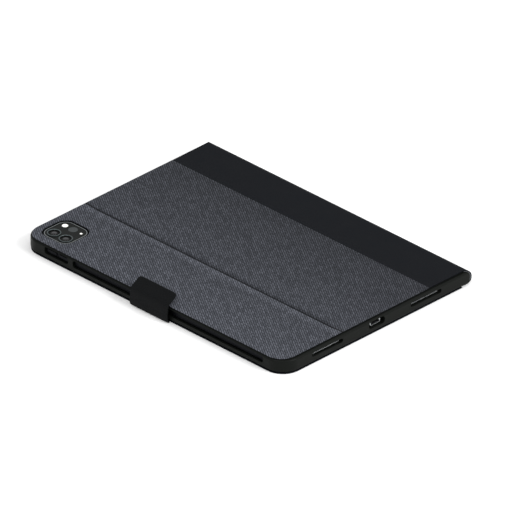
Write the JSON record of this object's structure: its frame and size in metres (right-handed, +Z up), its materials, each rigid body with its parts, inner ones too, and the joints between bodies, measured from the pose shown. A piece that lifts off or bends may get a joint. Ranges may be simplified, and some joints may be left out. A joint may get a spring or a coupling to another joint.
{
  "type": "tablet keyboard case",
  "caption": "slim folding case with a built-in keyboard: a tablet sits in a moulded shell under a woven back cover, and a leather spine and strap close it",
  "frame": {"origin": "middle of the underside of the front cover, the face that the closed case lies on", "axes": "+Z up through the closed case, X along the long edge, +Y towards the spine, -Y towards the strap"},
  "size_m": [0.255, 0.1877, 0.0208],
  "materials": {
    "woven_cloth": "melange grey woven polyester",
    "leather": "matt black synthetic leather",
    "board": "flock-faced stiffening board",
    "shell_plastic": "satin black moulded shell",
    "deck_plastic": "fine-textured moulded deck",
    "key_plastic": "matt moulded keycap",
    "film": "printed switch film",
    "circuit": "solder-masked circuit board",
    "bright_metal": "polished metal",
    "pouch": "laminated pouch",
    "magnet": "nickel-plated magnet",
    "aluminium": "bead-blasted dark grey anodised",
    "dark_glass": "black-backed cover glass",
    "light_lens": "white diffuser",
    "black_mesh": "black acoustic mesh"
  },
  "bodies": {
    "keyboard_half": {"front_skin": "leather", "front_board": "board", "keyboard_base": "deck_plastic", "keyboard_frame": "deck_plastic", "key_membrane": "film", "circuit_board": "circuit", "radio_module": "bright_metal", "battery": "pouch", "groove_magnet_1": "magnet", "groove_magnet_2": "magnet", "groove_magnet_3": "magnet", "wake_magnet": "magnet", "status_light": "light_lens", "spine_lower": "leather"},
    "tablet_half": {"spine_upper": "leather", "back_cloth": "woven_cloth", "leather_band": "leather", "camera_board": "board", "stand_board": "board", "tablet_shell": "shell_plastic", "tablet_screen": "dark_glass", "tablet_body": "aluminium", "usb_port": "black_mesh", "speaker_far_front": "black_mesh", "speaker_far_back": "black_mesh", "speaker_near_front": "black_mesh", "speaker_near_back": "black_mesh", "camera_rim": "bright_metal", "camera_glass": "dark_glass", "lens_wide": "bright_metal", "lens_ultra_wide": "bright_metal", "lens_wide_glass": "dark_glass", "lens_ultra_wide_glass": "dark_glass", "flash": "light_lens", "depth_sensor": "dark_glass", "microphone": "light_lens"},
    "arrow_keys": {"arrow_keys": "key_plastic"},
    "caps_key": {"caps_key": "key_plastic"},
    "delete_key": {"delete_key": "key_plastic"},
    "key_row_function": {"key_row_function": "key_plastic"},
    "key_row_home": {"key_row_home": "key_plastic"},
    "key_row_left": {"key_row_left": "key_plastic"},
    "key_row_lower": {"key_row_lower": "key_plastic"},
    "key_row_number": {"key_row_number": "key_plastic"},
    "key_row_right": {"key_row_right": "key_plastic"},
    "key_row_upper": {"key_row_upper": "key_plastic"},
    "power_button": {"power_button": "aluminium"},
    "power_switch": {"power_switch": "key_plastic"},
    "return_key": {"return_key": "key_plastic"},
    "shift_left": {"shift_left": "key_plastic"},
    "shift_right": {"shift_right": "key_plastic"},
    "slash_key": {"slash_key": "key_plastic"},
    "space_bar": {"space_bar": "key_plastic"},
    "strap_flap": {"strap_flap": "leather"},
    "strap_side": {"strap_side": "leather"},
    "tab_key": {"tab_key": "key_plastic"},
    "volume_down": {"volume_down": "aluminium"},
    "volume_up": {"volume_up": "aluminium"}
  },
  "joints": [
    {"name": "cover_open", "type": "hinge", "parent": "keyboard_half", "child": "tablet_half", "pos_m": [0, 0.0922, 0.006], "axis": [-1, 0, 0], "range_deg": [0, 180]},
    {"name": "strap_swing", "type": "hinge", "parent": "keyboard_half", "child": "strap_side", "pos_m": [0, -0.0923, 0.00075], "axis": [1, 0, 0], "range_deg": [0, 60], "stiffness_Nm_per_rad": 0.03},
    {"name": "strap_bend", "type": "hinge", "parent": "strap_side", "child": "strap_flap", "pos_m": [0, -0.0936, 0.0129], "axis": [1, 0, 0], "range_deg": [-30, 50], "stiffness_Nm_per_rad": 0.02},
    {"name": "key_row_left_press", "type": "slide", "parent": "keyboard_half", "child": "key_row_left", "axis": [0, 0, 1], "range_m": [-0.00045, 0], "stiffness_N_per_m": 700, "springref_m": 0.0003},
    {"name": "space_bar_press", "type": "slide", "parent": "keyboard_half", "child": "space_bar", "axis": [0, 0, 1], "range_m": [-0.00045, 0], "stiffness_N_per_m": 700, "springref_m": 0.0003},
    {"name": "key_row_right_press", "type": "slide", "parent": "keyboard_half", "child": "key_row_right", "axis": [0, 0, 1], "range_m": [-0.00045, 0], "stiffness_N_per_m": 700, "springref_m": 0.0003},
    {"name": "arrow_keys_press", "type": "slide", "parent": "keyboard_half", "child": "arrow_keys", "axis": [0, 0, 1], "range_m": [-0.00045, 0], "stiffness_N_per_m": 700, "springref_m": 0.0003},
    {"name": "shift_left_press", "type": "slide", "parent": "keyboard_half", "child": "shift_left", "axis": [0, 0, 1], "range_m": [-0.00045, 0], "stiffness_N_per_m": 700, "springref_m": 0.0003},
    {"name": "key_row_lower_press", "type": "slide", "parent": "keyboard_half", "child": "key_row_lower", "axis": [0, 0, 1], "range_m": [-0.00045, 0], "stiffness_N_per_m": 700, "springref_m": 0.0003},
    {"name": "shift_right_press", "type": "slide", "parent": "keyboard_half", "child": "shift_right", "axis": [0, 0, 1], "range_m": [-0.00045, 0], "stiffness_N_per_m": 700, "springref_m": 0.0003},
    {"name": "caps_key_press", "type": "slide", "parent": "keyboard_half", "child": "caps_key", "axis": [0, 0, 1], "range_m": [-0.00045, 0], "stiffness_N_per_m": 700, "springref_m": 0.0003},
    {"name": "key_row_home_press", "type": "slide", "parent": "keyboard_half", "child": "key_row_home", "axis": [0, 0, 1], "range_m": [-0.00045, 0], "stiffness_N_per_m": 700, "springref_m": 0.0003},
    {"name": "return_key_press", "type": "slide", "parent": "keyboard_half", "child": "return_key", "axis": [0, 0, 1], "range_m": [-0.00045, 0], "stiffness_N_per_m": 700, "springref_m": 0.0003},
    {"name": "tab_key_press", "type": "slide", "parent": "keyboard_half", "child": "tab_key", "axis": [0, 0, 1], "range_m": [-0.00045, 0], "stiffness_N_per_m": 700, "springref_m": 0.0003},
    {"name": "key_row_upper_press", "type": "slide", "parent": "keyboard_half", "child": "key_row_upper", "axis": [0, 0, 1], "range_m": [-0.00045, 0], "stiffness_N_per_m": 700, "springref_m": 0.0003},
    {"name": "slash_key_press", "type": "slide", "parent": "keyboard_half", "child": "slash_key", "axis": [0, 0, 1], "range_m": [-0.00045, 0], "stiffness_N_per_m": 700, "springref_m": 0.0003},
    {"name": "key_row_number_press", "type": "slide", "parent": "keyboard_half", "child": "key_row_number", "axis": [0, 0, 1], "range_m": [-0.00045, 0], "stiffness_N_per_m": 700, "springref_m": 0.0003},
    {"name": "delete_key_press", "type": "slide", "parent": "keyboard_half", "child": "delete_key", "axis": [0, 0, 1], "range_m": [-0.00045, 0], "stiffness_N_per_m": 700, "springref_m": 0.0003},
    {"name": "key_row_function_press", "type": "slide", "parent": "keyboard_half", "child": "key_row_function", "axis": [0, 0, 1], "range_m": [-0.00045, 0], "stiffness_N_per_m": 700, "springref_m": 0.0003},
    {"name": "volume_up_press", "type": "slide", "parent": "tablet_half", "child": "volume_up", "axis": [0, 1, 0], "range_m": [0, 0.0004], "stiffness_N_per_m": 700, "springref_m": -0.0003},
    {"name": "volume_down_press", "type": "slide", "parent": "tablet_half", "child": "volume_down", "axis": [0, 1, 0], "range_m": [0, 0.0004], "stiffness_N_per_m": 700, "springref_m": -0.0003},
    {"name": "power_button_press", "type": "slide", "parent": "tablet_half", "child": "power_button", "axis": [1, 0, 0], "range_m": [0, 0.0004], "stiffness_N_per_m": 700, "springref_m": -0.0003},
    {"name": "power_switch_slide", "type": "slide", "parent": "keyboard_half", "child": "power_switch", "axis": [1, 0, 0], "range_m": [0, 0.0024]}
  ]
}
